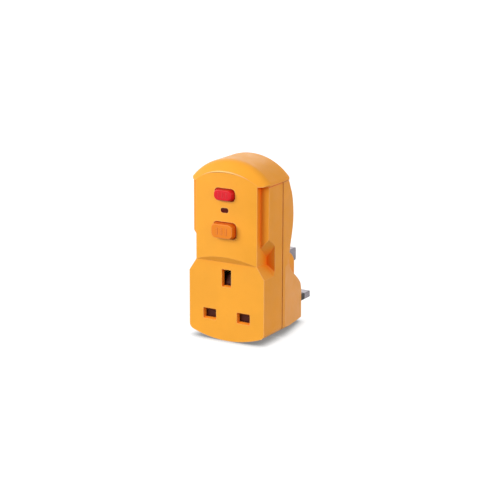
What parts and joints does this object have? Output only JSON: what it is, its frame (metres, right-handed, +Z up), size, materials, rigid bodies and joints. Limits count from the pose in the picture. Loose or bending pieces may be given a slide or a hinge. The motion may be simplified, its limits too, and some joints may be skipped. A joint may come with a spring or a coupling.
{
  "type": "rcd plug adapter",
  "caption": "Plug-through mains adapter with a shuttered socket on the front, plug pins on the back, test and reset buttons, an on-off flag window and a residual current switch inside.",
  "frame": {"origin": "on the plug face, midway between the line and neutral pins", "axes": "+Y along the pins, out of the plug face; -Y out of the socket face; +Z up, towards the earth pin; +X to the right seen from the back"},
  "size_m": [0.05, 0.0857, 0.1052],
  "materials": {
    "orange": "satin moulded, light orange",
    "amber": "satin moulded, deeper orange",
    "red": "satin moulded red",
    "smoke": "dark tinted clear plastic",
    "white": "off-white moulded",
    "black": "black moulded",
    "brass": "bare brass",
    "nickel": "nickel plated",
    "copper": "bare copper",
    "steel": "plain steel",
    "board": "green resin board",
    "blue": "blue plastic",
    "tan": "light brown lacquer",
    "ferrite": "dark grey ferrite"
  },
  "bodies": {
    "case": {"front_shell": "orange", "rear_shell": "orange", "indicator_window": "smoke", "line_pin": "nickel", "neutral_pin": "nickel", "earth_pin": "nickel", "line_pin_sleeve": "black", "neutral_pin_sleeve": "black", "line_contact": "brass", "neutral_contact": "brass", "earth_contact": "brass", "earth_strap": "copper", "socket_base": "white", "shutter_spring": "steel", "reset_spring": "steel", "test_spring": "copper", "test_contact": "nickel", "mechanism_chassis": "white", "carrier_spring": "steel", "line_inlet_contact": "nickel", "line_outlet_contact": "nickel", "neutral_inlet_contact": "nickel", "neutral_outlet_contact": "nickel", "magnet_bobbin": "white", "magnet_coil": "copper", "magnet_core": "steel", "circuit_board": "board", "filter_capacitor": "blue", "surge_varistor": "tan", "control_chip": "black", "test_resistor": "tan", "sensing_core": "ferrite", "sensing_winding": "copper", "line_inlet_bar": "copper", "neutral_inlet_bar": "copper", "line_outlet_wire": "tan", "neutral_outlet_wire": "blue", "case_screw_upper_left": "steel", "case_screw_upper_right": "steel", "case_screw_lower_left": "steel", "case_screw_lower_right": "steel"},
    "test_key": {"test_button": "red"},
    "reset_key": {"reset_button": "amber"},
    "carrier": {"contact_carrier": "black", "armature_plate": "steel", "line_bridge": "copper", "neutral_bridge": "copper"},
    "flag": {"indicator_flag": "red"},
    "shutter_plate": {"shutter": "white"}
  },
  "joints": [
    {"name": "test_press", "type": "slide", "parent": "case", "child": "test_key", "axis": [0, 1, 0], "range_m": [0, 0.0015], "stiffness_N_per_m": 400, "springref_m": -0.001, "deforming": ["test_spring"]},
    {"name": "reset_press", "type": "slide", "parent": "case", "child": "reset_key", "axis": [0, 1, 0], "range_m": [0, 0.0025], "stiffness_N_per_m": 500, "springref_m": -0.001, "deforming": ["reset_spring"]},
    {"name": "carrier_slide", "type": "slide", "parent": "case", "child": "carrier", "axis": [0, 1, 0], "range_m": [0, 0.0025], "stiffness_N_per_m": 300, "springref_m": -0.001, "deforming": ["carrier_spring"]},
    {"name": "flag_turn", "type": "hinge", "parent": "case", "child": "flag", "pos_m": [0, -0.0489, 0.0644], "axis": [1, 0, 0], "range_deg": [0, 28.65]},
    {"name": "shutter_slide", "type": "slide", "parent": "case", "child": "shutter_plate", "axis": [0, 0, -1], "range_m": [0, 0.006], "stiffness_N_per_m": 120, "springref_m": -0.002, "deforming": ["shutter_spring"]}
  ],
  "couplings": [
    {"joint": "carrier_slide", "follows": "reset_press", "ratio": 1},
    {"joint": "flag_turn", "follows": "reset_press", "rad_per_m": 200}
  ]
}
